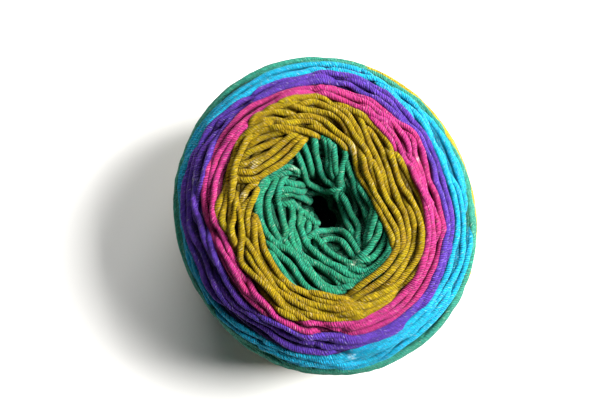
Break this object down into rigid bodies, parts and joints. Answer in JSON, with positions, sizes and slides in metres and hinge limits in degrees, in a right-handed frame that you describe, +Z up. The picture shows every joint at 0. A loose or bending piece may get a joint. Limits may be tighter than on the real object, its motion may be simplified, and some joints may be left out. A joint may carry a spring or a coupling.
{
  "type": "yarn cake",
  "caption": "Squat oval drum of wound self-striping yarn with rounded shoulders, a sunken top, a narrow centre hole and a flat base.",
  "frame": {"origin": "under the middle of the drum's outline, at the height of the flat base it rests on", "axes": "+Z up along the winding axis, towards the sunken top; the long axis of the oval outline lies 68 degrees from +X, towards -Y"},
  "size_m": [0.1368, 0.1458, 0.09],
  "materials": {
    "dyed_yarn": "plied yarn dyed in long stretches of green, mustard, magenta, violet and turquoise, matt with a soft sheen"
  },
  "bodies": {
    "root": {"wound_yarn": "dyed_yarn"}
  },
  "joints": []
}
